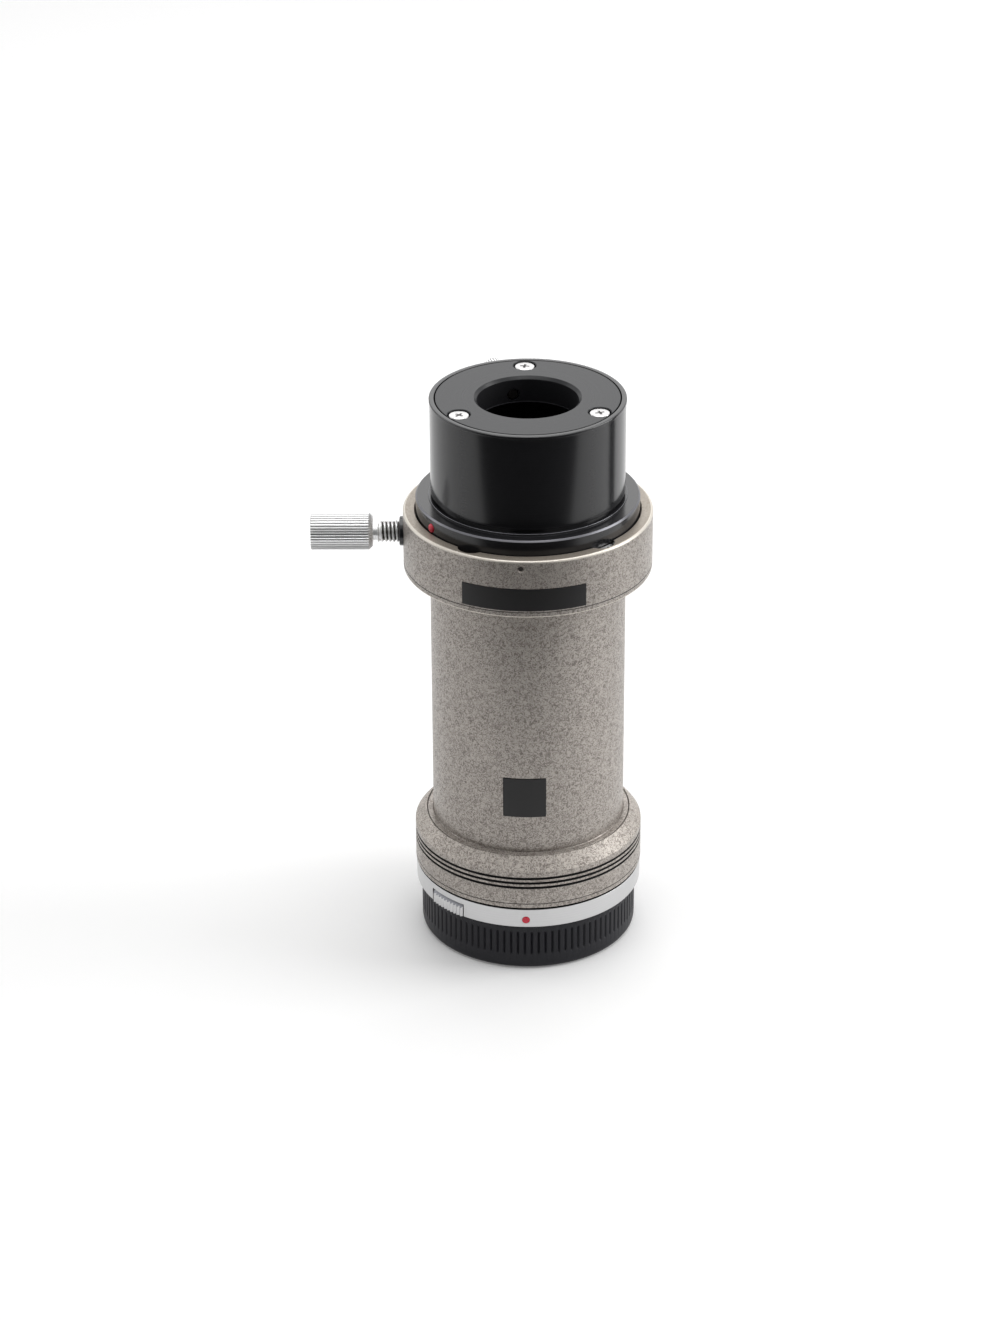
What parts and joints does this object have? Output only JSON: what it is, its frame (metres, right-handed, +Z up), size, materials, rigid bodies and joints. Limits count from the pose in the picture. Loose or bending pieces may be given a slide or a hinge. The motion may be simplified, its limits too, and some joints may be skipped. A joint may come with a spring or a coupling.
{
  "type": "microscope camera adapter",
  "caption": "Tubular adapter that joins a camera to a microscope's photo port, with a clamped swivelling eyepiece-end mount, a bayonet camera end and a ribbed rear cap.",
  "frame": {"origin": "centre of the rear cap's flat underside, which the adapter stands on", "axes": "+Z up along the adapter's axis, from the camera end to the microscope end; -Y is the front, with the camera mount's red dot; the thumb screw points along -X"},
  "size_m": [0.0876, 0.0642, 0.1517],
  "materials": {
    "black_plastic": "moulded black plastic",
    "bayonet_chrome": "chromed brass",
    "bright_steel": "nickel-plated, turned",
    "satin_aluminium": "satin turned aluminium",
    "hammertone": "grey-brown hammertone enamel",
    "black_anodised": "satin black anodised",
    "black_plate": "bare black plate",
    "red_enamel": "red enamel bead",
    "brass": "turned brass"
  },
  "bodies": {
    "adapter_body": {"bayonet_plate": "bayonet_chrome", "bayonet_screw_1": "bright_steel", "bayonet_screw_2": "bright_steel", "bayonet_screw_3": "bright_steel", "bayonet_screw_4": "bright_steel", "mount_ring": "satin_aluminium", "button_spring": "bright_steel", "index_dot_camera": "red_enamel", "lower_ring": "hammertone", "base_ring": "hammertone", "main_tube": "hammertone", "nameplate_lower": "black_plate", "collar": "hammertone", "collar_screw_1": "bright_steel", "collar_screw_2": "bright_steel", "collar_screw_3": "bright_steel", "collar_screw_4": "bright_steel", "collar_screw_5": "bright_steel", "nameplate_upper": "black_plate", "set_screw": "bright_steel", "screw_bush": "black_anodised"},
    "cap": {"rear_cap": "black_plastic"},
    "button": {"release_button": "satin_aluminium"},
    "latch": {"latch_pin": "bright_steel"},
    "clamp_tip": {"clamp_pad": "brass"},
    "clamp_screw": {"thumb_screw": "bright_steel"},
    "scope_mount": {"mount_flange": "black_anodised", "index_dot_scope": "red_enamel", "sleeve": "black_anodised", "top_plate": "black_anodised", "plate_screw_1": "bright_steel", "plate_screw_2": "bright_steel", "plate_screw_3": "bright_steel"},
    "lock_tip": {"lock_pad": "brass"},
    "lock": {"lock_screw": "bright_steel"}
  },
  "joints": [
    {"name": "cap_twist", "type": "hinge", "parent": "adapter_body", "child": "cap", "pos_m": [0, 0, 0.005], "axis": [0, 0, 1], "range_deg": [0, 70]},
    {"name": "button_press", "type": "slide", "parent": "adapter_body", "child": "button", "axis": [0.7218, 0.6921, 0], "range_m": [0, 0.0015], "stiffness_N_per_m": 500, "springref_m": -0.001},
    {"name": "latch_lift", "type": "slide", "parent": "adapter_body", "child": "latch", "axis": [0, 0, 1], "range_m": [0, 0.00121]},
    {"name": "clamp_tip_travel", "type": "slide", "parent": "adapter_body", "child": "clamp_tip", "axis": [-1, 0, 0], "range_m": [0, 0.002]},
    {"name": "clamp_screw_turn", "type": "hinge", "parent": "clamp_tip", "child": "clamp_screw", "pos_m": [-0.03, 0, 0.1144], "axis": [-1, 0, 0], "range_deg": [0, 720]},
    {"name": "mount_swivel", "type": "hinge", "parent": "adapter_body", "child": "scope_mount", "pos_m": [0, 0, 0.12], "axis": [0, 0, 1], "continuous": true},
    {"name": "lock_tip_travel", "type": "slide", "parent": "scope_mount", "child": "lock_tip", "axis": [0.2874, -0.9578, 0], "range_m": [0, 0.0015]},
    {"name": "lock_turn", "type": "hinge", "parent": "lock_tip", "child": "lock", "pos_m": [-0.00575, 0.01916, 0.147], "axis": [0.2874, -0.9578, 0], "range_deg": [0, 1080]}
  ],
  "couplings": [
    {"joint": "latch_lift", "follows": "button_press", "ratio": 0.8},
    {"joint": "clamp_tip_travel", "follows": "clamp_screw_turn", "m_per_rad": 0.000159},
    {"joint": "lock_tip_travel", "follows": "lock_turn", "m_per_rad": 0.0000795}
  ]
}
